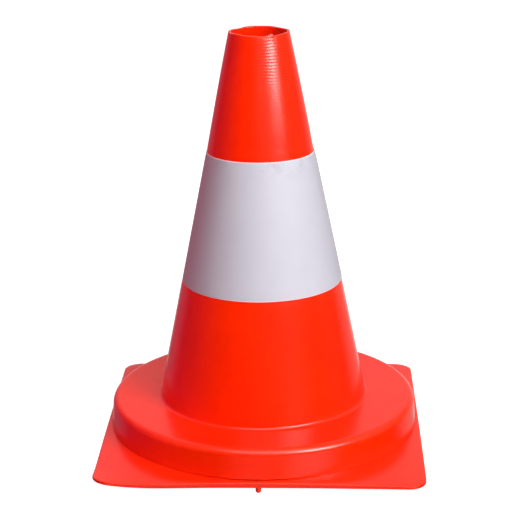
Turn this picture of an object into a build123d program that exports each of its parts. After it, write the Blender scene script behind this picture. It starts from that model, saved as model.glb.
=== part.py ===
from build123d import *
import math
import os

# A small traffic cone that stands on a square base. Millimetres, +Z up. The origin is on the
# floor, on the axis of the cone, and the four sides of the base face +X, -X, +Y and -Y.
#
# The cone, its deck and the round plinth are one thin moulding. It sits on a square base plate,
# which closes the plinth from below and traps the ballast ring. A strip of reflective film goes
# round the cone, and the base stands on four small pegs.

# ---- overall sizes ----
TOTAL_HEIGHT = 300.0  # floor to rim
BASE_SIDE = 232.0  # over the flat sides of the square base
BASE_CORNER_RADIUS = 13.0

# ---- the cone ----
RIM_RADIUS = 21.1  # outside, at the open top
CONE_FOOT_RADIUS = 76.1  # outside, where the line of the taper meets the deck
CONE_WALL = 2.0
RIM_EDGE_RADIUS = 0.5
FOOT_FILLET = 2.5  # outside, between the cone and the deck

# ---- the round plinth under the cone ----
DECK_HEIGHT = 30.0  # floor to the top of the deck
PLINTH_LEDGE = 2.9  # from the foot of the skirt to the side of the base, where they are closest
SKIRT_DRAFT = 4.6  # degrees, the skirt leans in towards the deck
SHOULDER_RADIUS = 5.0  # outside, between the deck and the skirt

# ---- the square base plate ----
SEAT_HEIGHT = 9.05  # floor to the flat seat that the skirt stands on
FLANGE_FALL = 2.6  # degrees, the flange outside the skirt falls away from it
PLATE_WALL = 2.5
LIP_WALL = 3.0  # the edge of the plate is turned down into a lip
LIP_BOTTOM = 3.95  # floor to the lower edge of the lip
LIP_TOP_ROUND = 1.2
LIP_BOTTOM_ROUND = 0.6
TONGUE_WALL = 2.0  # the low ring that centres the skirt from the inside
TONGUE_HEIGHT = 6.0
TONGUE_CLEARANCE = 0.25  # between the tongue and the skirt
COLLAR_STEP = 3.0  # the round opening of the plate is this much wider than the cone's foot
COLLAR_WALL = 2.0  # the ring that closes the plinth's hollow from the middle
COLLAR_CLEARANCE = 0.2  # between the collar and the underside of the deck

# ---- the ballast ring in the plinth ----
BALLAST_HEADROOM = 3.0  # over the ring, to the underside of the deck
BALLAST_CLEARANCE = 0.6  # to the collar and to the tongue
BALLAST_EDGE_RADIUS = 1.5

# ---- the reflective strip ----
BAND_BOTTOM = 119.0  # floor to the lower edge of the film
FILM_WIDTH = 97.8  # along the slope of the cone
FILM_THICKNESS = 0.25
LAP_START = -4.0  # degrees from +X, where the end of the strip lies over its start
LAP_ANGLE = 15.0

# ---- the foot pegs ----
PEG_RADIUS = 2.0
PEG_TIP_RADIUS = 1.2  # the rounding of the tip, which leaves a small flat to stand on
PEG_SHANK_RADIUS = 1.2
PEG_ROOF = 1.4  # left over the hole for the shank, under the top of the plate
PEG_FIT = 0.05  # round the shank
PEG_HOLE_EXTRA = 0.3  # above the shank
PEG_BOSS_WALL = 1.3  # round the hole

# ---- worked out from the sizes above ----
CONE_SLOPE = math.atan2(CONE_FOOT_RADIUS - RIM_RADIUS, TOTAL_HEIGHT - DECK_HEIGHT)
BAND_TOP = BAND_BOTTOM + FILM_WIDTH * math.cos(CONE_SLOPE)
DECK_UNDERSIDE = DECK_HEIGHT - CONE_WALL
PLINTH_RADIUS = BASE_SIDE / 2 - PLINTH_LEDGE  # outside, at the foot of the skirt
SHOULDER_REACH = (DECK_HEIGHT - SEAT_HEIGHT) * math.tan(math.radians(SKIRT_DRAFT))
COLLAR_RADIUS = CONE_FOOT_RADIUS + COLLAR_STEP
PEG_PLACE = BASE_SIDE / 2 - PEG_RADIUS  # axis of the cone to the axis of a peg
PEG_HOLE_TOP = SEAT_HEIGHT - PEG_ROOF
CORNER_REACH = BASE_SIDE  # any radius beyond the corners of the base


def cone_radius(height):
    """The outside radius of the cone at a height above the floor."""
    return RIM_RADIUS + (TOTAL_HEIGHT - height) * math.tan(CONE_SLOPE)


def skirt_inside(height):
    """The inside radius of the leaning skirt at a height above the floor."""
    draft = math.radians(SKIRT_DRAFT)
    outside = PLINTH_RADIUS - (height - SEAT_HEIGHT) * math.tan(draft)
    return outside - CONE_WALL / math.cos(draft)


def inner_corner(before, corner, after, wall):
    """The corner of an outline after the two sides that meet there move inward by the wall."""
    first = (Vector(*corner) - Vector(*before)).normalized()
    second = (Vector(*after) - Vector(*corner)).normalized()
    normal_1 = Vector(-first.Y, first.X)
    normal_2 = Vector(-second.Y, second.X)
    shift = (normal_1 + normal_2) * (-wall / (1 + normal_1.dot(normal_2)))
    moved = Vector(*corner) + shift
    return (moved.X, moved.Y)


def turned(points, radii=0.0):
    """A solid of revolution about Z. The outline's points are (radius, height) pairs."""
    outline = FilletPolyline(*points, radius=radii, close=True)
    return revolve(Plane.XZ * make_face(outline), Axis.Z)


def ring(inner_radius, outer_radius, bottom, top):
    """A plain ring about Z."""
    height = top - bottom
    face = Circle(outer_radius) - Circle(inner_radius)
    return Pos(0, 0, bottom) * extrude(face, height)


def cone_shell():
    """The moulding of even wall: tapered tube, deck, shoulder and skirt."""
    rim = (RIM_RADIUS, TOTAL_HEIGHT)
    foot = (CONE_FOOT_RADIUS, DECK_HEIGHT)
    shoulder = (PLINTH_RADIUS - SHOULDER_REACH, DECK_HEIGHT)
    skirt_foot = (PLINTH_RADIUS, SEAT_HEIGHT)
    foot_in = inner_corner(rim, foot, shoulder, CONE_WALL)
    shoulder_in = inner_corner(foot, shoulder, skirt_foot, CONE_WALL)
    skirt_foot_in = (skirt_inside(SEAT_HEIGHT), SEAT_HEIGHT)
    rim_in = (RIM_RADIUS - CONE_WALL / math.cos(CONE_SLOPE), TOTAL_HEIGHT)
    corners = [rim, foot, shoulder, skirt_foot, skirt_foot_in, shoulder_in, foot_in, rim_in]
    radii = [
        RIM_EDGE_RADIUS,
        FOOT_FILLET,
        SHOULDER_RADIUS,
        0.0,
        0.0,
        SHOULDER_RADIUS - CONE_WALL,
        FOOT_FILLET + CONE_WALL,
        RIM_EDGE_RADIUS,
    ]
    return turned(corners, radii)


def under_flange(drop):
    """Everything below the top of the plate, lowered by a drop: flat, then a gentle fall."""
    fall = (CORNER_REACH - PLINTH_RADIUS) * math.tan(math.radians(FLANGE_FALL))
    top = SEAT_HEIGHT - drop
    floor = top - TOTAL_HEIGHT
    outline = [(0, floor), (0, top), (PLINTH_RADIUS, top), (CORNER_REACH, top - fall)]
    return turned(outline + [(CORNER_REACH, floor)])


def square_block(inset):
    """A tall block with the base's rounded square outline, moved in by an inset."""
    side = BASE_SIDE - 2 * inset
    outline = RectangleRounded(side, side, BASE_CORNER_RADIUS - inset)
    return Pos(0, 0, LIP_BOTTOM) * extrude(outline, TOTAL_HEIGHT)


def at_each_side():
    """The four places of the pegs, in the middle of each side of the base."""
    return [Rot(0, 0, 90 * side) * Pos(0, -PEG_PLACE, LIP_BOTTOM) for side in range(4)]


def is_upper_edge(edge):
    """True for the edges where the flange meets the outside of the lip."""
    middle = edge @ 0.5
    beside_the_lip = max(abs(middle.X), abs(middle.Y)) > BASE_SIDE / 2 - BASE_CORNER_RADIUS
    outside_the_seat = math.hypot(middle.X, middle.Y) > PLINTH_RADIUS + LIP_TOP_ROUND
    above_the_lip = edge.bounding_box().min.Z > LIP_BOTTOM + 2 * LIP_BOTTOM_ROUND
    return beside_the_lip and outside_the_seat and above_the_lip


def lipped_plate():
    """The square plate, hollow from below inside its lip, with rounded outer edges."""
    block = square_block(0) & under_flange(0)
    plate = fillet(block.faces().sort_by(Axis.Z)[0].edges(), LIP_BOTTOM_ROUND)
    plate = fillet(plate.edges().filter_by(is_upper_edge), LIP_TOP_ROUND)
    return plate - (square_block(LIP_WALL) & under_flange(PLATE_WALL))


def tongue():
    """The low ring on the plate that the skirt drops over. It leans in as the skirt does."""
    top = SEAT_HEIGHT + TONGUE_HEIGHT
    buried_foot = SEAT_HEIGHT - PLATE_WALL / 2
    outside_foot = skirt_inside(SEAT_HEIGHT) - TONGUE_CLEARANCE
    outside_top = skirt_inside(top) - TONGUE_CLEARANCE
    inside = outside_top - TONGUE_WALL
    return turned(
        [
            (inside, buried_foot),
            (outside_foot, buried_foot),
            (outside_foot, SEAT_HEIGHT),
            (outside_top, top),
            (inside, top),
        ]
    )


def collar():
    """The ring round the opening, from the level of the lip to just under the deck."""
    top = DECK_UNDERSIDE - COLLAR_CLEARANCE
    return ring(COLLAR_RADIUS, COLLAR_RADIUS + COLLAR_WALL, LIP_BOTTOM, top)


def base_plate():
    """The plate with its tongue, its collar and a blind hole for each peg."""
    opening = Pos(0, 0, LIP_BOTTOM) * extrude(Circle(COLLAR_RADIUS), TOTAL_HEIGHT)
    plate = (lipped_plate() - opening) + tongue() + collar()
    hole = extrude(Circle(PEG_SHANK_RADIUS + PEG_FIT), PEG_HOLE_TOP - LIP_BOTTOM)
    boss_radius = PEG_SHANK_RADIUS + PEG_FIT + PEG_BOSS_WALL
    boss = extrude(Circle(boss_radius), PEG_HOLE_TOP - LIP_BOTTOM)
    for place in at_each_side():
        plate += (place * boss) & square_block(LIP_WALL / 2)
        plate -= place * hole
    return plate


def ballast_ring():
    """The heavy ring that lies in the trough between the collar and the tongue."""
    tongue_inside = skirt_inside(SEAT_HEIGHT + TONGUE_HEIGHT) - TONGUE_CLEARANCE - TONGUE_WALL
    inner = COLLAR_RADIUS + COLLAR_WALL + BALLAST_CLEARANCE
    outer = tongue_inside - BALLAST_CLEARANCE
    top = DECK_UNDERSIDE - BALLAST_HEADROOM
    corners = [(inner, SEAT_HEIGHT), (outer, SEAT_HEIGHT), (outer, top), (inner, top)]
    return turned(corners, BALLAST_EDGE_RADIUS)


def film_layer(level, start, angle):
    """One layer of film on the cone: level 0 lies on the plastic, level 1 on level 0."""
    inner = level * FILM_THICKNESS / math.cos(CONE_SLOPE)
    outer = (level + 1) * FILM_THICKNESS / math.cos(CONE_SLOPE)
    low = cone_radius(BAND_BOTTOM)
    high = cone_radius(BAND_TOP)
    section = Polygon(
        (low + inner, BAND_BOTTOM),
        (low + outer, BAND_BOTTOM),
        (high + outer, BAND_TOP),
        (high + inner, BAND_TOP),
        align=None,
    )
    layer = revolve(Plane.XZ * section, Axis.Z, revolution_arc=angle)
    return Rot(0, 0, start) * layer


def reflective_band():
    """The strip of film once round the cone, with its end lapped over its start."""
    return film_layer(0, LAP_START, 360) + film_layer(1, LAP_START, LAP_ANGLE)


def foot_peg():
    """One peg, from its seat under the lip: a round-ended stud with a thin shank above it."""
    shank_top = PEG_HOLE_TOP - PEG_HOLE_EXTRA - LIP_BOTTOM
    corners = [
        (0, -LIP_BOTTOM),
        (PEG_RADIUS, -LIP_BOTTOM),
        (PEG_RADIUS, 0),
        (PEG_SHANK_RADIUS, 0),
        (PEG_SHANK_RADIUS, shank_top),
        (0, shank_top),
    ]
    return turned(corners, [0.0, PEG_TIP_RADIUS, 0.0, 0.0, 0.0, 0.0])


def foot_pegs():
    """The four pegs, one in the middle of each side."""
    peg = foot_peg()
    return Compound([place * peg for place in at_each_side()])


NODES = {
    "cone_shell": cone_shell,
    "base_plate": base_plate,
    "ballast_ring": ballast_ring,
    "reflective_band": reflective_band,
    "foot_pegs": foot_pegs,
}

os.makedirs("parts", exist_ok=True)
for name, make in NODES.items():
    export_step(make(), f"parts/{name}.step")
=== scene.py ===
# %% [markdown]
# # A small traffic cone
#
# This lesson dresses the imported model of a 300 mm traffic cone. The imported model is a fixed
# frame: it says where each part is and how large. Here every part but the closed-in ballast ring
# gets a finer surface, worked out with numpy, and every part gets a finish of its own: moulded
# polyethylene, retroreflective film and pressed rubber crumb. Everything is in metres, in the
# frame's own axes: the floor is at zero, +Z is up, and the front of the cone faces -Y.

# %% Load the fixed frame
import math

import bpy
import numpy as np
from mathutils import Matrix, Vector


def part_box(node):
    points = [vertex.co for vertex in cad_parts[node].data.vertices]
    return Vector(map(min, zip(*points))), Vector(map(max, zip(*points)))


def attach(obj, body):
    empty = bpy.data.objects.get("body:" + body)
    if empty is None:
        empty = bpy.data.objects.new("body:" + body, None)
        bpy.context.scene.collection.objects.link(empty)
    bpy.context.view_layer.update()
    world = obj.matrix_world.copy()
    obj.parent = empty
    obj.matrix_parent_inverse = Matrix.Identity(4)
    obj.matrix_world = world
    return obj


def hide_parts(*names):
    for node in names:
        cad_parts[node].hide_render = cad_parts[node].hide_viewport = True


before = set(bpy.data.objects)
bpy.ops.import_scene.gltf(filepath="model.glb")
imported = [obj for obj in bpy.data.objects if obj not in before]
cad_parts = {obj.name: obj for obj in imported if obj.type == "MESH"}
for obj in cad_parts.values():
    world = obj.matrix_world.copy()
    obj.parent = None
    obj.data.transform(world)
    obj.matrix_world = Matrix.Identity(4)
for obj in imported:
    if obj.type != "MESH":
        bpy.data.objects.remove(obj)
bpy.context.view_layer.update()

print("nodes:", sorted(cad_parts))

# %% [markdown]
# ## Sizes
#
# A box round each part gives most of the sizes. What a box can't give, such as a wall or the
# radius of an edge, is written here once, in millimetres, as on a maker's drawing.

# %% Read the boxes and write down the other sizes
MM = 0.001

shell_low, shell_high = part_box("cone_shell")
plate_low, plate_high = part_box("base_plate")
band_low, band_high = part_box("reflective_band")
peg_low, peg_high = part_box("foot_pegs")

RIM_HEIGHT = shell_high.z
SEAT_HEIGHT = shell_low.z
PLINTH_RADIUS = shell_high.x
HALF_SIDE = plate_high.x
LIP_BOTTOM = plate_low.z
COLLAR_TOP = plate_high.z
BAND_BOTTOM = band_low.z
BAND_TOP = band_high.z

RIM_RADIUS = 21.1 * MM
CONE_FOOT_RADIUS = 76.1 * MM
DECK_HEIGHT = 30.0 * MM
WALL = 2.0 * MM
FOOT_FILLET = 2.5 * MM
SHOULDER_RADIUS = 5.0 * MM
RIM_EDGE = 0.55 * MM
SKIRT_DRAFT = math.radians(4.6)
FLANGE_FALL = math.radians(2.6)
CORNER_RADIUS = 13.0 * MM
PLATE_WALL = 2.5 * MM
LIP_WALL = 3.0 * MM
COLLAR_RADIUS = 79.1 * MM
COLLAR_WALL = 2.0 * MM
TONGUE_WALL = 2.0 * MM
TONGUE_HEIGHT = 6.0 * MM
TONGUE_CLEARANCE = 0.25 * MM
FILM = 0.25 * MM
LAP_START = math.radians(-4.0)
LAP_ANGLE = math.radians(15.0)
PEG_RADIUS = 2.0 * MM

CONE_SLOPE = (CONE_FOOT_RADIUS - RIM_RADIUS) / (RIM_HEIGHT - DECK_HEIGHT)
print(f"rim at {RIM_HEIGHT / MM:.1f} mm, base {2 * HALF_SIDE / MM:.1f} mm square")

# %% [markdown]
# ## From a grid of points to a mesh
#
# Most of the cone's parts are turned or nearly turned shapes: an outline carried round the
# axis. Such a surface is a grid. One direction of the grid follows the outline, the other goes
# round. numpy works out all the points at once, and the faces follow from the grid alone. A
# grid that closes on itself both ways is a ring with no seam and no pole.

# %% Helper: make a mesh object from a grid
def grid_object(name, points, close_rows=True, close_columns=True, caps=False, poles=False):
    """A mesh from points[row, column]. Each face joins (r, c), (r + 1, c), (r + 1, c + 1) and
    (r, c + 1), and the last row or column joins the first where the grid closes. Caps fill the
    two ends of an open tube. With poles, the first and last rows are single points, and a fan of
    triangles joins each of them to its neighbour row."""
    rows, columns = points.shape[:2]
    index = np.arange(rows * columns).reshape(rows, columns)
    extra = []
    if poles:
        top, bottom = (rows - 1) * columns, (rows - 1) * columns + 1
        index = index[1:-1]
        first, last = index[0], index[-1]
        top_fan = np.stack([np.full(columns, top), first, np.roll(first, -1)], axis=-1)
        bottom_fan = np.stack([last, np.full(columns, bottom), np.roll(last, -1)], axis=-1)
        extra = np.concatenate([top_fan, bottom_fan]).tolist()
    here = index if close_rows else index[:-1]
    down = np.roll(index, -1, axis=0) if close_rows else index[1:]
    quads = np.stack([here, down, np.roll(down, -1, axis=1), np.roll(here, -1, axis=1)], axis=-1)
    if not close_columns:
        quads = quads[:, :-1]
    if caps:
        extra = [index[::-1, 0].tolist(), index[:, -1].tolist()]
    flat = points.reshape(-1, 3)
    if poles:
        flat = np.concatenate([flat[columns:-columns], points[0, :1], points[-1, :1]])
        quads = quads - columns
        extra = (np.array(extra) - columns).tolist()
    mesh = bpy.data.meshes.new(name)
    mesh.from_pydata(flat, [], quads.reshape(-1, 4).tolist() + extra)
    mesh.polygons.foreach_set("use_smooth", np.ones(len(mesh.polygons), bool))
    mesh.update()
    piece = bpy.data.objects.new(name, mesh)
    bpy.context.scene.collection.objects.link(piece)
    print(f"{name}: {len(mesh.vertices)} points, {len(mesh.polygons)} faces")
    return piece


def paint(piece, name, values):
    """Stores one number for each point of a piece, for its material to read."""
    layer = piece.data.attributes.new(name, "FLOAT", "POINT")
    layer.data.foreach_set("value", np.ascontiguousarray(values, dtype=np.float32).reshape(-1))


def turn(radius, height, theta):
    """Points of a turned surface: (radius cos theta, radius sin theta, height)."""
    radius, height, theta = np.broadcast_arrays(radius, height, theta)
    return np.stack([radius * np.cos(theta), radius * np.sin(theta), height], axis=-1)


# %% Helper: an outline with rounded corners
EDGE_GAP = 0.25 * MM


def run_between(start, end, step):
    """Points on a straight run, about a step apart. The first and the last lie a quarter of a
    millimetre inside its ends, which keeps the flats flat where a rounded edge begins."""
    length = np.linalg.norm(end - start)
    gap = min(EDGE_GAP, length / 4) / length
    count = max(2, int(math.ceil(length / step)) + 1)
    share = np.linspace(gap, 1 - gap, count)[:, None]
    return start + (end - start) * share


def arc_at(before, corner, after, radius, count):
    """An arc that touches both sides of a corner. Its points turn evenly from the one touching
    point to the other, by spherical interpolation about the arc's centre."""
    to_before = (before - corner) / np.linalg.norm(before - corner)
    to_after = (after - corner) / np.linalg.norm(after - corner)
    half = 0.5 * np.arccos(np.clip(to_before @ to_after, -1, 1))
    middle = (to_before + to_after) / np.linalg.norm(to_before + to_after)
    centre = corner + middle * radius / np.sin(half)
    first = corner + to_before * radius / np.tan(half) - centre
    last = corner + to_after * radius / np.tan(half) - centre
    sweep = np.pi - 2 * half
    share = np.linspace(0, 1, count)[:, None]
    return centre + (np.sin((1 - share) * sweep) * first + np.sin(share * sweep) * last) / np.sin(sweep)


def rounded_outline(corners, radii, counts, step):
    """A closed outline of (radius, height) points, clockwise, with an arc at each corner."""
    corners = np.array(corners, float)
    total = len(corners)
    arcs = [
        arc_at(corners[i - 1], corners[i], corners[(i + 1) % total], radii[i], counts[i])
        for i in range(total)
    ]
    pieces = []
    for i in range(total):
        pieces += [arcs[i], run_between(arcs[i][-1], arcs[(i + 1) % total][0], step)]
    return np.concatenate(pieces)


# %% [markdown]
# ## The moulded cone
#
# The cone, the deck and the round plinth are one moulding, about 2 mm thick everywhere. It is
# soft polyethylene, so no line on it is quite true: the open rim is trimmed by hand and waves
# a little, with one burr left standing, the tube is a touch oval, and it draws in above the
# film. A subdivided cone primitive would be too perfect, and sculpting can't be repeated. So
# the outline is turned with numpy, and small named waves are added to it.

# %% How the real cone strays from a true one
def smooth_step(x):
    """0 below 0, 1 above 1, and 3x^2 - 2x^3 between."""
    x = np.clip(x, 0, 1)
    return x * x * (3 - 2 * x)


def bump_at(angle, centre_degrees, width_degrees):
    """A bell exp(-(d / width)^2), where d is the shortest way round to its centre."""
    away = np.angle(np.exp(1j * (angle - math.radians(centre_degrees))))
    return np.exp(-((away / math.radians(width_degrees)) ** 2))


def from_front(theta):
    """The angle round the cone from its front, -Y, positive towards +X."""
    return theta + math.pi / 2


def tube_error(theta, height):
    """How far the tube stands out at a place: an oval that grows with the square of the height,
    a slow swell of three lobes, a waist just above the film, and a slight flare from there to
    the rim. Under the film it is a quarter of a millimetre narrower, so that the film lies
    nearly flush."""
    up = np.clip((height - DECK_HEIGHT) / (RIM_HEIGHT - DECK_HEIGHT), 0, 1)
    around = from_front(theta)
    oval = 0.22 * MM * up**2 * np.cos(2 * around - 0.6)
    swell = 0.12 * MM * np.sin(math.pi * up) * np.cos(3 * around + 4 * up)
    waist = -0.32 * MM * np.exp(-(((height - BAND_TOP - 5 * MM) / (8 * MM)) ** 2))
    flare = 0.40 * MM * smooth_step((height - BAND_TOP - 8 * MM) / (45 * MM))
    above = smooth_step((height - BAND_TOP - 0.5 * MM) / (1.5 * MM))
    below = smooth_step((BAND_BOTTOM - 0.5 * MM - height) / (1.5 * MM))
    fuller = 0.25 * MM * above + (0.25 + 0.12 * np.cos(around + 1.6)) * MM * below
    return oval + swell + flare + fuller + waist * (0.7 + 0.3 * np.cos(around - 1.4))


def rim_error(theta):
    """How far the trimmed rim rises: two slow waves, a dip behind on the left, and the burr, a
    saw tooth that climbs over 9 degrees and drops over 2."""
    around = from_front(theta)
    wave = 0.22 * MM * np.cos(3 * around + 2.2) + 0.14 * MM * np.cos(7 * around - 0.4)
    dip = -0.75 * MM * bump_at(around, -140, 16)
    nick = -0.30 * MM * bump_at(around, 8, 8)
    away = np.degrees(np.angle(np.exp(1j * (around - math.radians(27)))))
    burr = 1.45 * MM * np.minimum(smooth_step((away + 15) / 15), smooth_step((4 - away) / 3.5))
    return wave + dip + nick + burr


# %% Turn the moulded cone
AROUND = 340
round_angles = np.arange(AROUND) * 2 * math.pi / AROUND

skirt_reach = (DECK_HEIGHT - SEAT_HEIGHT) * math.tan(SKIRT_DRAFT)
slope_angle = math.atan(CONE_SLOPE)
foot_turn = math.tan((math.pi / 2 - slope_angle) / 2)
shoulder_turn = math.tan((math.pi / 2 - SKIRT_DRAFT) / 2)
shoulder_out = PLINTH_RADIUS - skirt_reach

shell_corners = [
    (RIM_RADIUS, RIM_HEIGHT),
    (CONE_FOOT_RADIUS, DECK_HEIGHT),
    (shoulder_out, DECK_HEIGHT),
    (PLINTH_RADIUS, SEAT_HEIGHT),
    (PLINTH_RADIUS - WALL / math.cos(SKIRT_DRAFT), SEAT_HEIGHT),
    (shoulder_out - WALL * shoulder_turn, DECK_HEIGHT - WALL),
    (CONE_FOOT_RADIUS - WALL * foot_turn, DECK_HEIGHT - WALL),
    (RIM_RADIUS - WALL / math.cos(slope_angle), RIM_HEIGHT),
]
shell_radii = [
    RIM_EDGE,
    FOOT_FILLET,
    SHOULDER_RADIUS,
    0.15 * MM,
    0.15 * MM,
    SHOULDER_RADIUS - WALL,
    FOOT_FILLET + WALL,
    RIM_EDGE,
]
shell_counts = [6, 12, 16, 4, 4, 6, 6, 6]
shell_outline = rounded_outline(shell_corners, shell_radii, shell_counts, 3.0 * MM)

radius = shell_outline[:, 0, None]
height = shell_outline[:, 1, None]
theta = round_angles[None, :]

tube_share = smooth_step((height - DECK_HEIGHT - 2 * MM) / (12 * MM))
near_rim = smooth_step((height - (RIM_HEIGHT - 7 * MM)) / (7 * MM))
near_edge = smooth_step((height - (RIM_HEIGHT - 1.0 * MM)) / (0.8 * MM))
inside = smooth_step(((RIM_RADIUS + (RIM_HEIGHT - height) * CONE_SLOPE) - radius) / WALL)
sag = 0.9 * MM * inside * bump_at(from_front(theta), -142, 11)
sag = sag * np.exp(-(((height - (RIM_HEIGHT - 5 * MM)) / (3.2 * MM)) ** 2))
# The skirt's foot lifts off its seat by up to a tenth of a millimetre here and there, which
# is what breaks the seam into dark dashes.
foot_share = smooth_step((SEAT_HEIGHT + 3 * MM - height) / (3 * MM)) * (radius > 100 * MM)
lift = 0.10 * MM * foot_share * np.clip(np.cos(9 * theta + 1) + np.cos(23 * theta), 0, 1.2)

# The plinth bulges by half a millimetre on its right-hand side.
bulge = 0.5 * MM * bump_at(from_front(theta), 95, 35)
bulge = bulge * smooth_step((radius - 90 * MM) / (20 * MM))

shell_radius = radius + tube_share * tube_error(theta, height) - sag + bulge
burr_only = rim_error(theta) * (0.35 * near_rim + 0.65 * near_edge)
shell_height = height + burr_only + lift
moulded_cone = grid_object("moulded_cone", turn(shell_radius, shell_height, theta))


def near(distance, reach):
    """A bell that is 1 at an edge and falls off over a reach: exp(-(distance / reach)^2)."""
    return np.exp(-((distance / reach) ** 2))


to_shoulder = np.hypot(shell_radius - shoulder_out + 1.5 * MM, shell_height - DECK_HEIGHT + 1.5 * MM)
to_foot = np.hypot(shell_radius - PLINTH_RADIUS, shell_height - SEAT_HEIGHT)
to_rim = RIM_HEIGHT - height + 0 * theta
shell_wear = np.maximum(near(to_shoulder, 4.5 * MM), 0.6 * near(to_foot, 1.5 * MM))
paint(moulded_cone, "wear", np.maximum(shell_wear, near(to_rim, 0.9 * MM)))
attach(moulded_cone, "root")
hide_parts("cone_shell")

# %% [markdown]
# ## The base plate
#
# The plate is a square with rounded corners outside and round inside, where the collar, the
# tongue and the seat for the skirt are. One grid can still make it. Its rows are an outline
# that starts and ends at the collar, and each row says how square it is: 0 is a circle, 1 is
# the rounded square of the lip, and between them the flange turns from the one into the other.
# The top of the flange falls away from the skirt, so the lip is lower at its corners.

# %% The reach of a rounded square
def square_reach(theta, inset):
    """The distance from the axis to a rounded square. Along a side it is h / cos(phi), where phi
    is the angle from the middle of the side. Round a corner it is the far crossing of the ray
    with the corner's circle: k.u + sqrt((k.u)^2 - k.k + c^2)."""
    quarter = math.pi / 2
    phi = np.abs(np.mod(theta + quarter / 2, quarter) - quarter / 2)
    h = HALF_SIDE - inset
    c = np.maximum(CORNER_RADIUS - inset, 1.0 * MM)
    k = h - c
    along = k * (np.cos(phi) + np.sin(phi))
    corner = along + np.sqrt(np.maximum(along**2 - 2 * k**2 + c**2, 0))
    side = h / np.cos(phi)
    return np.where(h * np.tan(phi) <= k, side, corner)


def plate_points(rows, theta):
    """Points of the plate. A row holds a circle's radius, its squareness, an inset from the lip,
    a share that follows the falling top, a drop below that top, and a plain height. The reach
    is the mix of circle and square, and the height is the mix of falling top and plain."""
    circle, square, inset, follow, drop, plain = (column[:, None] for column in rows.T)
    reach = (1 - square) * circle + square * square_reach(theta, inset)
    top = SEAT_HEIGHT - np.maximum(reach - PLINTH_RADIUS, 0) * math.tan(FLANGE_FALL)
    height = follow * (top - drop) + (1 - follow) * plain
    return turn(reach, height, theta)


# %% Rows with softened corners
def soften_rows(rows, sizes, counts, steps):
    """Rounds each corner of a closed list of rows with a parabola, (1-t)^2 a + 2t(1-t) b + t^2 c,
    that leaves the side before it at a and joins the side after it at c, and fills the runs
    between with evenly spaced rows. Lengths are taken where theta is 0."""
    rows = np.array(rows, float)
    total = len(rows)
    flat = plate_points(rows, np.zeros((1, 1)))[:, 0][:, [0, 2]]
    leave, join = [], []
    for i in range(total):
        for ends, j in ((leave, i - 1), (join, (i + 1) % total)):
            length = np.linalg.norm(flat[j] - flat[i])
            ends.append(rows[i] + (rows[j] - rows[i]) * min(sizes[i] / length, 0.45))
    pieces = []
    for i in range(total):
        t = np.linspace(0, 1, counts[i])[:, None]
        pieces.append((1 - t) ** 2 * leave[i] + 2 * t * (1 - t) * rows[i] + t**2 * join[i])
        length = np.linalg.norm(flat[(i + 1) % total] - flat[i])
        gap = min(EDGE_GAP / length, 0.2)
        share = np.linspace(gap, 1 - gap, steps[i])[:, None]
        pieces.append(join[i] + (leave[(i + 1) % total] - join[i]) * share)
    return np.concatenate(pieces)


# %% Make the base plate
skirt_in = PLINTH_RADIUS - WALL / math.cos(SKIRT_DRAFT)
tongue_out = skirt_in - TONGUE_CLEARANCE
tongue_top = SEAT_HEIGHT + TONGUE_HEIGHT
tongue_lean = TONGUE_HEIGHT * math.tan(SKIRT_DRAFT)
tongue_in = tongue_out - tongue_lean - TONGUE_WALL
collar_out = COLLAR_RADIUS + COLLAR_WALL
under = SEAT_HEIGHT - PLATE_WALL

# Each line: circle, squareness, inset, follow, drop, plain height, softening, points on the
# corner, points on the run to the next line.
plate_table = np.array([
    (COLLAR_RADIUS, 0, 0, 0, 0, COLLAR_TOP, 0.4 * MM, 4, 2),
    (collar_out, 0, 0, 0, 0, COLLAR_TOP, 0.4 * MM, 4, 4),
    (collar_out, 0, 0, 0, 0, SEAT_HEIGHT, 1.0 * MM, 5, 6),
    (tongue_in, 0, 0, 0, 0, SEAT_HEIGHT, 0.6 * MM, 4, 3),
    (tongue_in, 0, 0, 0, 0, tongue_top, 0.5 * MM, 4, 2),
    (tongue_out - tongue_lean, 0, 0, 0, 0, tongue_top, 0.5 * MM, 4, 3),
    (tongue_out, 0, 0, 0, 0, SEAT_HEIGHT, 0.2 * MM, 3, 3),
    (PLINTH_RADIUS + 0.6 * MM, 0, 0, 1, 0, SEAT_HEIGHT, 0.5 * MM, 3, 12),
    (0, 1, 0, 1, 0, LIP_BOTTOM, 1.6 * MM, 9, 4),
    (0, 1, 0, 0, 0, LIP_BOTTOM, 0.7 * MM, 6, 3),
    (0, 1, LIP_WALL, 0, 0, LIP_BOTTOM, 0.4 * MM, 4, 3),
    (0, 1, LIP_WALL, 1, PLATE_WALL, LIP_BOTTOM, 0.8 * MM, 5, 8),
    (PLINTH_RADIUS - LIP_WALL, 0, 0, 1, PLATE_WALL, LIP_BOTTOM, 0.3 * MM, 3, 5),
    (collar_out, 0, 0, 0, 0, under, 0.6 * MM, 4, 3),
    (collar_out, 0, 0, 0, 0, LIP_BOTTOM, 0.4 * MM, 4, 2),
    (COLLAR_RADIUS, 0, 0, 0, 0, LIP_BOTTOM, 0.4 * MM, 4, 8),
])
plate_rows = soften_rows(
    plate_table[:, :6],
    plate_table[:, 6],
    plate_table[:, 7].astype(int),
    plate_table[:, 8].astype(int),
)

# The angles crowd together at the four corners, where the outline turns fastest:
# theta = t + k / 4 sin(4 t), so the steps shrink to 1 - k of their length there.
CROWDING = 0.78
PLATE_AROUND = 560
even = np.arange(PLATE_AROUND) * 2 * math.pi / PLATE_AROUND
plate_theta = (even + CROWDING / 4 * np.sin(4 * even))[None, :]
plate_grid = plate_points(plate_rows, plate_theta)

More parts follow.
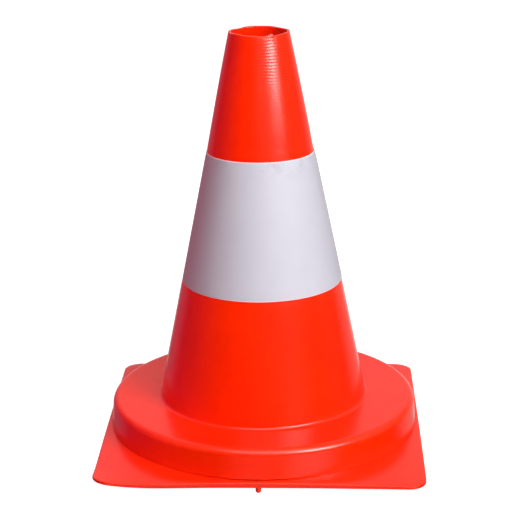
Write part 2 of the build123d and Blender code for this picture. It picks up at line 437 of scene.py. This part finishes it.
# Soft moulding again: the flange dips and rises by a tenth of a millimetre or two.
across, along = plate_grid[..., 0], plate_grid[..., 1]
far_out = smooth_step((np.hypot(across, along) - PLINTH_RADIUS - 2 * MM) / (20 * MM))
plate_grid[..., 2] += 0.16 * MM * far_out * (np.sin(34 * across + 1) + np.cos(41 * along))
# The front edge hangs a little, and the front left corner is bent up for good.
in_front = smooth_step((-along - 60 * MM) / (50 * MM))
at_corner = np.clip((np.hypot(across, along) - 135 * MM) / (23 * MM), 0, 1) ** 2 * in_front
plate_grid[..., 2] -= 0.4 * MM * far_out * in_front
plate_grid[..., 2] += 2.5 * MM * at_corner * (across < 0) - 0.35 * MM * at_corner * (across > 0)

base_tray = grid_object("base_tray", plate_grid)
lip_reach = square_reach(plate_theta, 0.0)
to_lip = np.hypot(np.hypot(across, along) - lip_reach, plate_grid[..., 2] - SEAT_HEIGHT + 1.2 * MM)
paint(base_tray, "wear", near(to_lip, 2.2 * MM))
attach(base_tray, "root")
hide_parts("base_plate")

# %% [markdown]
# ## The reflective strip
#
# The film is a strip cut from a roll 100 mm wide and stuck round the cone by hand. Its end laps
# over its start, on the right. A texture could paint it on, but then its cut edges, the step at
# the lap and the small creases near its upper edge would be missing. So it is a thin closed
# ribbon: one grid direction goes once round its section, the other along its length.

# %% Wrap the strip round the cone
def film_crease(around, down):
    """The small creases that were pressed in near the upper edge: two short curved ridges.
    down is the distance from the upper edge, and each ridge is a bell across its own arc."""
    first = 3.6 * MM - 1.5 * MM * np.cos((around + 0.14) * 9)
    second = 5.4 * MM + 1.2 * MM * np.cos((around - 0.3) * 7)
    ridge = np.exp(-(((down - first) / (0.45 * MM)) ** 2)) * bump_at(around, -9, 9)
    return ridge + 0.7 * np.exp(-(((down - second) / (0.5 * MM)) ** 2)) * bump_at(around, 20, 12)


ALONG = 520
strip_angle = np.linspace(0, 2 * math.pi + LAP_ANGLE, ALONG)
strip_theta = (LAP_START + strip_angle)[None, :]
climb = smooth_step((strip_angle - (2 * math.pi - math.radians(5))) / math.radians(4.5))[None, :]

# Once round the section: down the outside, whose two cut edges are eased, and up the inside.
# Each line of points holds its share of the way down and how far it stands out.
DOWN = 96
UP = 24
CUT_EASING = 0.06 * MM
CUT_SHARE = 0.001
GLUE_LINE = 0.02 * MM
outer_down = np.concatenate([[0.0], np.linspace(CUT_SHARE, 1 - CUT_SHARE, DOWN), [1.0]])
outer_out = np.concatenate([[FILM - CUT_EASING], np.full(DOWN, FILM), [FILM - CUT_EASING]])
inner_down = np.linspace(1, 0, UP)
inner_out = np.full(UP, GLUE_LINE)
section_down = np.concatenate([outer_down, inner_down])[:, None]
section_out = np.concatenate([outer_out, inner_out])[:, None]

sway = 0.18 * MM * np.sin(strip_theta + 0.8) + 0.10 * MM * np.sin(3 * strip_theta)
strip_height = BAND_TOP - (BAND_TOP - BAND_BOTTOM) * section_down
from_edge = BAND_TOP - strip_height
strip_height = strip_height + sway - 0.3 * MM * (0.5 - section_down)
bare = RIM_RADIUS + (RIM_HEIGHT - strip_height) * CONE_SLOPE + tube_error(strip_theta, strip_height)
crease = 0.10 * MM * film_crease(from_front(strip_theta), from_edge)
crease = crease * (section_out > GLUE_LINE)
climb_out = climb * (FILM + 2 * GLUE_LINE)
strip_reach = bare + section_out + climb_out + crease
strip_grid = turn(strip_reach, strip_height, strip_theta)
film_strip = grid_object("film_strip", strip_grid, close_columns=False, caps=True)

# The strip's own map: U runs along its length and V down its width, both in metres.
STRIP_MIDDLE_RADIUS = 50 * MM
corner_point = np.empty(len(film_strip.data.loops), int)
film_strip.data.loops.foreach_get("vertex_index", corner_point)
row, column = np.divmod(corner_point, ALONG)
map_u = (strip_angle * STRIP_MIDDLE_RADIUS)[column]
map_v = (section_down[:, 0] * (BAND_TOP - BAND_BOTTOM))[row]
strip_map = film_strip.data.uv_layers.new(name="strip")
strip_map.data.foreach_set("uv", np.stack([map_u, map_v], axis=-1).reshape(-1))
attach(film_strip, "root")
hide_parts("reflective_band")

# %% [markdown]
# ## The foot pegs
#
# Four pegs of 4 mm carry the base a few millimetres off the floor. They are small turned
# shapes, so the same grid does for them, with a pole at each end of the outline where the
# radius is nothing. The four are alike, and a loop turns one outline into four pieces.

# %% Make the four pegs
PEG_INTO_PLATE = 1.0 * MM
PEG_AROUND = 32
peg_corners = np.array([
    (0.0, LIP_BOTTOM + PEG_INTO_PLATE),
    (PEG_RADIUS - 0.02 * MM, LIP_BOTTOM + PEG_INTO_PLATE),
    (PEG_RADIUS - 0.08 * MM, 0.0),
    (0.0, 0.0),
])
peg_tip = arc_at(peg_corners[1], peg_corners[2], peg_corners[3], 1.3 * MM, 9)
peg_top = arc_at(peg_corners[0], peg_corners[1], peg_corners[2], 0.25 * MM, 4)
peg_outline = np.concatenate([
    peg_corners[:1],
    peg_top,
    run_between(peg_top[-1], peg_tip[0], 0.6 * MM),
    peg_tip,
    peg_corners[3:],
])
peg_angles = np.arange(PEG_AROUND) * 2 * math.pi / PEG_AROUND
peg_places = {"front": (0, -1), "right": (1, 0), "back": (0, 1), "left": (-1, 0)}
pegs = []
for side, (x, y) in peg_places.items():
    peg_grid = turn(peg_outline[:, 0, None], peg_outline[:, 1, None], peg_angles[None, :])
    peg_grid = peg_grid + np.array([x, y, 0]) * (HALF_SIDE - PEG_RADIUS)
    peg = grid_object(f"foot_peg_{side}", peg_grid, close_rows=False, poles=True)
    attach(peg, "root")
    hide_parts("foot_pegs")
    pegs.append(peg)

# %% [markdown]
# ## Helpers for the finishes
#
# Each finish is a small tree of nodes. One function turns a hex colour, as a paint chart gives
# it, into the linear light that the shader works in. Another adds a node, sets it and links it.

# %% Colour and node helpers
def hex_colour(code):
    """An sRGB hex code as linear red, green, blue and alpha: c / 12.92 for the darkest tones,
    and ((c + 0.055) / 1.055) ^ 2.4 above them."""
    srgb = np.array([int(code[i : i + 2], 16) for i in (1, 3, 5)]) / 255
    linear = np.where(srgb <= 0.04045, srgb / 12.92, ((srgb + 0.055) / 1.055) ** 2.4)
    return (*linear.tolist(), 1.0)


def add(tree, kind, inputs=None, **settings):
    """Adds a node, gives it its settings, and sets or links each of its inputs."""
    node = tree.nodes.new(kind)
    for key, value in settings.items():
        setattr(node, key, value)
    for key, value in (inputs or {}).items():
        if isinstance(value, bpy.types.NodeSocket):
            tree.links.new(value, node.inputs[key])
        else:
            node.inputs[key].default_value = value
    return node


def new_finish(name):
    """An empty material with its output, its Principled shader and object coordinates."""
    finish = bpy.data.materials.new(name)
    finish.use_nodes = True
    tree = finish.node_tree
    tree.nodes.clear()
    output = add(tree, "ShaderNodeOutputMaterial")
    shader = add(tree, "ShaderNodeBsdfPrincipled")
    tree.links.new(shader.outputs["BSDF"], output.inputs["Surface"])
    place = add(tree, "ShaderNodeTexCoord").outputs["Object"]
    return finish, tree, shader, place


def per_mm(size_mm):
    """The Scale of a texture whose pattern repeats about once in a size in millimetres."""
    return 1 / (size_mm * MM)


# %% [markdown]
# ## Moulded orange polyethylene
#
# The cone and its base are low-density polyethylene with a fluorescent orange-red pigment,
# shot into a polished steel mould. Such a surface is glossy but not hard: its reflections are
# clear and slightly soft at their edges, the colour is deep and even, and it marks easily. So
# the shader gets an IOR of 1.51, a low roughness that is a little higher where the plastic has
# been rubbed, fine rings near the rim where the core of the mould was turned, and a faint
# orange peel.

# %% The orange plastic
def orange_plastic(name, ring_strength=0.0, worn=True):
    """Moulded orange polyethylene. The colour drifts slowly between two oranges, as the pigment
    flowed into the mould, and turns paler and duller where the attribute wear says that edges
    get rubbed. Fine scuffs roughen it in patches."""
    finish, tree, shader, place = new_finish(name)
    flow = add(tree, "ShaderNodeTexNoise", {"Vector": place, "Scale": per_mm(55), "Detail": 3.0})
    mottle = add(tree, "ShaderNodeTexNoise", {"Vector": place, "Scale": per_mm(7), "Detail": 4.0})
    drift = add(
        tree, "ShaderNodeMix",
        {"Factor": 0.4, "A": flow.outputs["Fac"], "B": mottle.outputs["Fac"]},
        data_type="FLOAT",
    )
    spread = add(
        tree, "ShaderNodeMapRange",
        {"Value": drift.outputs["Result"], "From Min": 0.35, "From Max": 0.65},
    )
    colour = add(
        tree, "ShaderNodeMix",
        {
            "Factor": spread.outputs["Result"],
            "A": hex_colour("#EF2000"),
            "B": hex_colour("#F62600"),
        },
        data_type="RGBA",
    )
    # Scuffs are short and run round the cone, where others were slid over it. Real ones are a
    # few hundredths of a millimetre wide, and these are drawn ten times as wide, to show.
    squeeze = add(tree, "ShaderNodeMapping", {"Vector": place, "Scale": (1.0, 1.0, 9.0)})
    scuff = add(
        tree, "ShaderNodeTexNoise",
        {"Vector": squeeze.outputs["Vector"], "Scale": per_mm(5), "Detail": 5.0, "Roughness": 0.65},
    )
    rough = add(
        tree, "ShaderNodeMapRange",
        {
            "Value": scuff.outputs["Fac"],
            "From Min": 0.38,
            "From Max": 0.72,
            "To Min": 0.19,
            "To Max": 0.26,
        },
    )
    rubbed = rough.outputs["Result"]
    base = colour.outputs["Result"]
    if worn:
        wear = add(tree, "ShaderNodeAttribute", attribute_name="wear")
        broken = add(
            tree, "ShaderNodeMapRange",
            {
                "Value": mottle.outputs["Fac"],
                "From Min": 0.30,
                "From Max": 0.70,
                "To Min": 0.06,
                "To Max": 0.12,
            },
        )
        amount = add(
            tree, "ShaderNodeMath",
            {0: wear.outputs["Fac"], 1: broken.outputs["Result"]},
            operation="MULTIPLY",
        )
        pale = add(
            tree, "ShaderNodeMix",
            {"Factor": amount.outputs[0], "A": base, "B": hex_colour("#FA4418")},
            data_type="RGBA",
        )
        base = pale.outputs["Result"]
        dull = add(
            tree, "ShaderNodeMath",
            {0: amount.outputs[0], 1: 0.25, 2: rubbed},
            operation="MULTIPLY_ADD",
        )
        rubbed = dull.outputs[0]
    peel = add(tree, "ShaderNodeTexNoise", {"Vector": place, "Scale": per_mm(2.6), "Detail": 2.0})
    normal = add(
        tree, "ShaderNodeBump",
        {"Strength": 0.10, "Distance": 0.06 * MM, "Height": peel.outputs["Fac"]},
    )
    if ring_strength:
        # The turned core of the mould leaves rings about 2 mm apart, deepest near the rim.
        # A wave texture has pi / 10 of a metre to a band at scale 1.
        rings = add(
            tree, "ShaderNodeTexWave",
            {
                "Vector": place,
                "Scale": math.pi / 10 / (2.1 * MM),
                "Distortion": 2.5,
                "Detail": 2.0,
                "Detail Scale": 0.4,
            },
            wave_type="BANDS", bands_direction="Z",
        )
        high = add(tree, "ShaderNodeSeparateXYZ", {"Vector": place})
        fade = add(
            tree, "ShaderNodeMapRange",
            {
                "Value": high.outputs["Z"],
                "From Min": RIM_HEIGHT - 75 * MM,
                "From Max": RIM_HEIGHT - 12 * MM,
                "To Min": 0.15 * ring_strength,
                "To Max": ring_strength,
            },
        )
        normal = add(
            tree, "ShaderNodeBump",
            {
                "Strength": fade.outputs["Result"],
                "Distance": 0.07 * MM,
                "Height": rings.outputs["Fac"],
                "Normal": normal.outputs["Normal"],
            },
        )
    shader.inputs["IOR"].default_value = 1.51
    tree.links.new(base, shader.inputs["Base Color"])
    tree.links.new(rubbed, shader.inputs["Roughness"])
    tree.links.new(normal.outputs["Normal"], shader.inputs["Normal"])
    return finish


moulded_cone.data.materials.append(orange_plastic("moulded_orange_polyethylene", 0.45))
base_tray.data.materials.append(orange_plastic("moulded_orange_base_polyethylene"))
peg_finish = orange_plastic("moulded_orange_peg_polyethylene", worn=False)
for peg in pegs:
    peg.data.materials.append(peg_finish)

# %% [markdown]
# ## Retroreflective film
#
# The film carries a layer of glass beads under a clear top layer. Seen away from the lamp it is
# a plain lavender grey with a dull sheen, since the beads send most of the light back where it
# came from. The beads are a twentieth of a millimetre across, far too fine to draw, so a grain
# of 0.6 mm stands for them. A pale line painted into the colour along each knife-cut edge is a
# painted highlight of the light those edges catch, and below the upper edge there are darker
# grey patches.

# %% The film
def bead_film(name):
    """Glass-bead film. Its strip map gives metres along the strip and metres down from its upper
    edge, and from those come the painted highlight along the cut edges and the darker grey
    patches below the upper edge."""
    finish, tree, shader, place = new_finish(name)
    cloud = add(tree, "ShaderNodeTexNoise", {"Vector": place, "Scale": per_mm(16), "Detail": 4.0})
    colour = add(
        tree, "ShaderNodeMix",
        {"Factor": cloud.outputs["Fac"], "A": hex_colour("#B1AFB9"), "B": hex_colour("#B7B5BF")},
        data_type="RGBA",
    )
    strip = add(tree, "ShaderNodeUVMap", uv_map="strip")
    along_down = add(tree, "ShaderNodeSeparateXYZ", {"Vector": strip.outputs["UV"]})
    width = BAND_TOP - BAND_BOTTOM
    from_middle = add(
        tree, "ShaderNodeMath", {0: along_down.outputs["Y"], 1: width / 2}, operation="SUBTRACT",
    )
    out = add(tree, "ShaderNodeMath", {0: from_middle.outputs[0]}, operation="ABSOLUTE")
    # Painted highlight: a pale line mixed into the colour along both cut edges, where they catch the
    # light.
    painted_edge_highlight_share = add(
        tree, "ShaderNodeMapRange",
        {
            "Value": out.outputs[0],
            "From Min": width / 2 - 0.7 * MM,
            "From Max": width / 2 - 0.2 * MM,
            "To Max": 0.7,
        },
    )
    with_painted_edge_highlight = add(
        tree, "ShaderNodeMix",
        {"Factor": painted_edge_highlight_share.outputs["Result"], "A": colour.outputs["Result"], "B": hex_colour("#F2DCD8")},
        data_type="RGBA",
    )
    # Darker grey patches mixed into the colour, strongest within a few millimetres of the upper edge.
    dark_patch_noise = add(
        tree, "ShaderNodeTexNoise",
        {"Vector": place, "Scale": per_mm(11), "Detail": 6.0, "Roughness": 0.7},
    )
    spots = add(
        tree, "ShaderNodeMapRange",
        {"Value": dark_patch_noise.outputs["Fac"], "From Min": 0.52, "From Max": 0.72, "To Max": 0.5},
    )
    below_edge = add(
        tree, "ShaderNodeMapRange",
        {"Value": along_down.outputs["Y"], "From Min": 14 * MM, "From Max": 2 * MM, "To Min": 0.12},
    )
    dark_patch_share = add(
        tree, "ShaderNodeMath",
        {0: spots.outputs["Result"], 1: below_edge.outputs["Result"]},
        operation="MULTIPLY",
    )
    with_dark_patches = add(
        tree, "ShaderNodeMix",
        {"Factor": dark_patch_share.outputs[0], "A": with_painted_edge_highlight.outputs["Result"], "B": hex_colour("#8F8A94")},
        data_type="RGBA",
    )
    dull = add(
        tree, "ShaderNodeMapRange",
        {
            "Value": cloud.outputs["Fac"],
            "From Min": 0.3,
            "From Max": 0.7,
            "To Min": 0.52,
            "To Max": 0.62,
        },
    )
    beads = add(tree, "ShaderNodeTexNoise", {"Vector": place, "Scale": per_mm(0.6), "Detail": 1.0})
    grain = add(
        tree, "ShaderNodeBump",
        {"Strength": 0.15, "Distance": 0.08 * MM, "Height": beads.outputs["Fac"]},
    )
    shader.inputs["IOR"].default_value = 1.45
    tree.links.new(with_dark_patches.outputs["Result"], shader.inputs["Base Color"])
    tree.links.new(dull.outputs["Result"], shader.inputs["Roughness"])
    tree.links.new(grain.outputs["Normal"], shader.inputs["Normal"])
    return finish


film_strip.data.materials.append(bead_film("glass_bead_film"))

# %% [markdown]
# ## Pressed rubber crumb
#
# The ballast ring is pressed from rubber crumb of 2 to 3 mm, bound with a little glue. It lies
# closed in the plinth, and only a cut through the cone would show it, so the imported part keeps
# its own shape and gets a finish. Crumb of that kind is dull, nearly black and pitted.

# %% The ballast's rubber crumb
def rubber_crumb(name):
    """Pressed crumb: Voronoi cells 2.5 mm across, with painted shade darkening them towards the gaps
    between them.
    """
    finish, tree, shader, place = new_finish(name)
    crumb = add(tree, "ShaderNodeTexVoronoi", {"Vector": place, "Scale": per_mm(2.5)})
    # Painted shade: each cell gets darker towards its border, where the gaps between the granules are
    # sunk in.
    colour = add(
        tree, "ShaderNodeMix",
        {"Factor": crumb.outputs["Distance"], "A": hex_colour("#2F2F31"), "B": hex_colour("#151516")},
        data_type="RGBA",
    )
    fleck = add(tree, "ShaderNodeSeparateXYZ", {"Vector": crumb.outputs["Color"]})
    dull = add(
        tree, "ShaderNodeMapRange",
        {"Value": fleck.outputs["X"], "To Min": 0.75, "To Max": 0.95},
    )
    pits = add(
        tree, "ShaderNodeBump",
        {"Strength": 0.6, "Distance": 0.4 * MM, "Height": crumb.outputs["Distance"]},
    )
    pits.invert = True
    tree.links.new(colour.outputs["Result"], shader.inputs["Base Color"])
    tree.links.new(dull.outputs["Result"], shader.inputs["Roughness"])
    tree.links.new(pits.outputs["Normal"], shader.inputs["Normal"])
    return finish


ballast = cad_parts["ballast_ring"]
ballast.data.materials.clear()
ballast.data.materials.append(rubber_crumb("pressed_rubber_crumb"))

# %% [markdown]
# ## The studio
#
# The cone stands on a white table that is lit from within, as product tables are, so it throws
# next to no shadow. One soft box stands to the right of the camera and well above the cone's
# middle. Its lower edge leans, and that is what ends the long highlight a hand's breadth under
# the rim. A broad one overhead draws the lines of light on the rounded edges, and one more, to
# the right, lights the front without showing in the plastic. A low one behind lights the back.
# The rest is soft light from the room: pale walls behind, a red wall on the left, and the sheen
# of the table. The table itself is left out of the reflections, and soft glows of about the same
# brightness in the room stand in for it, because they can be shaped. Far away the table turns
# up into a wall, so the background stays white for a low camera too.

# %% The lit table
# Each line: radius and height in metres, from the top of the wall to the middle of the table.
# The last ring is a fifth of a millimetre across, so the table has no hole to speak of.
TABLE = np.array([(12.0, 9.0), (12.0, 1.0), (11.7, 0.3), (11.0, 0.0), (0.8, 0.0), (0.0001, 0.0)])
table_angles = np.linspace(0, 2 * math.pi, 96, endpoint=False)[None, :]
table_grid = turn(TABLE[:, 0, None], TABLE[:, 1, None], table_angles)
floor = grid_object("floor", table_grid, close_rows=False)
floor_finish, _, floor_shader, _ = new_finish("lit_white_table")
floor_shader.inputs["Base Color"].default_value = hex_colour("#8C8C8C")
floor_shader.inputs["Roughness"].default_value = 0.9
floor_shader.inputs["Emission Color"].default_value = (1, 1, 1, 1)
floor_shader.inputs["Emission Strength"].default_value = 0.97
floor.data.materials.append(floor_finish)
floor.visible_diffuse = False
floor.visible_glossy = False
floor.visible_shadow = False

# %% The glows of the room
world = bpy.data.worlds.new("pale_room")
bpy.context.scene.world = world
world.use_nodes = True
room = world.node_tree
room.nodes.clear()
direction = add(room, "ShaderNodeTexCoord").outputs["Generated"]


def out_from(azimuth, elevation):
    """The direction at an azimuth in degrees from the front, positive to the right, and at an
    elevation in degrees: (sin a cos e, -cos a cos e, sin e)."""
    a, e = math.radians(azimuth), math.radians(elevation)
    return Vector((math.sin(a) * math.cos(e), -math.cos(a) * math.cos(e), math.sin(e)))


def glow(azimuth, elevation, inner, outer, strength, colour=(1, 1, 1)):
    """Light from the room round one direction. It is even up to the inner angle, and fades out
    smoothly to nothing at the outer angle, by the cosine of the angle between."""
    cosine = add(
        room, "ShaderNodeVectorMath",
        {0: direction, 1: out_from(azimuth, elevation)},
        operation="DOT_PRODUCT",
    )
    share = add(
        room, "ShaderNodeMapRange",
        {
            "Value": cosine.outputs["Value"],
            "From Min": math.cos(math.radians(outer)),
            "From Max": math.cos(math.radians(inner)),
            "To Min": 0.0,
            "To Max": strength,
        },
        interpolation_type="SMOOTHSTEP",
    )
    return add(
        room, "ShaderNodeBackground",
        {"Color": (*colour, 1), "Strength": share.outputs["Result"]},
    )


# Each line: azimuth, elevation, inner angle, outer angle, strength, colour.
GLOWS = [
    (0, 90, 20, 85, 0.20, (1, 1, 1)),
    (0, -90, 20, 75, 0.20, (1, 1, 1)),
    (36, -26, 6, 26, 0.85, (1, 1, 1)),
    (-5, -32, 8, 26, 0.40, (1, 1, 1)),
    (180, 28, 14, 45, 0.36, (1, 1, 1)),
    (180, -14, 10, 26, 0.90, (1, 0.75, 0.72)),
    (148, -12, 10, 34, 0.42, (1, 0.85, 0.80)),
    (-142, -8, 6, 26, 0.16, (1, 0.85, 1)),
    (100, 30, 15, 45, 0.20, (1, 1, 1)),
    (-110, 18, 20, 66, 0.63, (1.0, 0.03, 0.19)),
]
light = glow(*GLOWS[0])
for line in GLOWS[1:]:
    more = add(room, "ShaderNodeAddShader", {0: light.outputs[0], 1: glow(*line).outputs[0]})
    light = more
add(room, "ShaderNodeOutputWorld", {"Surface": light.outputs[0]})
print(len(GLOWS), "glows")

# %% The soft boxes
AIM = Vector((0, 0, 0.15))


def soft_box(name, azimuth, elevation, distance, width, height, radiance, roll=0.0, shows=True):
    """A rectangular lamp that faces the cone. Its power is pi times its area times the light
    that each part of it gives. Roll turns it about its own axis, in degrees. A lamp that doesn't
    show lights the cone but is left out of its reflections, like one behind a polarising sheet."""
    out = out_from(azimuth, elevation)
    lamp = bpy.data.lights.new(name, "AREA")
    lamp.shape = "RECTANGLE"
    lamp.size = width
    lamp.size_y = height
    lamp.energy = math.pi * width * height * radiance
    holder = bpy.data.objects.new(name, lamp)
    turn_to = out.to_track_quat("Z", "Y").to_matrix() @ Matrix.Rotation(math.radians(roll), 3, "Z")
    holder.matrix_world = Matrix.Translation(AIM + out * distance) @ turn_to.to_4x4()
    holder.visible_camera = False
    holder.visible_glossy = shows
    bpy.context.scene.collection.objects.link(holder)
    print(f"{name}: {lamp.energy:.1f} W")


# Three boxes, each a little behind the last and wider and dimmer, make one that is bright in its
# middle and fades to its sides, like a real box with one bulb behind its cloth.
soft_box("key_middle", 43, 27.5, 1.25, 0.42, 0.50, 10.5, roll=-18)
soft_box("key_shoulder", 43, 27.5, 1.26, 0.78, 0.48, 5.5, roll=-18)
soft_box("key_edge", 43, 27.5, 1.27, 1.15, 0.46, 1.5, roll=-18)
soft_box("top_box", 5, 56, 1.40, 1.30, 1.10, 2.0)
soft_box("front_box", 20, 27, 1.30, 1.20, 0.50, 2.6, shows=False)
soft_box("back_box", 186, 6, 1.35, 1.30, 0.50, 2.8, shows=False)

# %% [markdown]
# ## The camera
#
# A long lens at a little over a metre, looking down at the cone by about 18 degrees. The
# camera leans by less than a degree, and its shift is three thousandths of the frame.

# %% Place the camera
CAMERA_DISTANCE = 1.1665
CAMERA_HEIGHT = 0.5016
CAMERA_AZIMUTH = 0.036
CAMERA_PITCH = 0.307
CAMERA_ROLL = 0.012

camera_data = bpy.data.cameras.new("camera")
camera_data.sensor_fit = "HORIZONTAL"
camera_data.sensor_width = 36.0
camera_data.lens = 116.04
camera_data.shift_x = -0.0032
camera = bpy.data.objects.new("camera", camera_data)
bpy.context.scene.collection.objects.link(camera)
bpy.context.scene.camera = camera

level = Vector((-math.sin(CAMERA_AZIMUTH), math.cos(CAMERA_AZIMUTH), 0))
forward = level * math.cos(CAMERA_PITCH) - Vector((0, 0, math.sin(CAMERA_PITCH)))
right = level.cross(Vector((0, 0, 1)))
up = right.cross(forward)
lean_right = right * math.cos(CAMERA_ROLL) - up * math.sin(CAMERA_ROLL)
lean_up = up * math.cos(CAMERA_ROLL) + right * math.sin(CAMERA_ROLL)
pose = Matrix((lean_right, lean_up, -forward)).transposed().to_4x4()
pose.translation = -level * CAMERA_DISTANCE + Vector((0, 0, CAMERA_HEIGHT))
camera.matrix_world = pose
bpy.context.scene.view_settings.view_transform = "Standard"
print("camera at", [round(v, 3) for v in pose.translation])
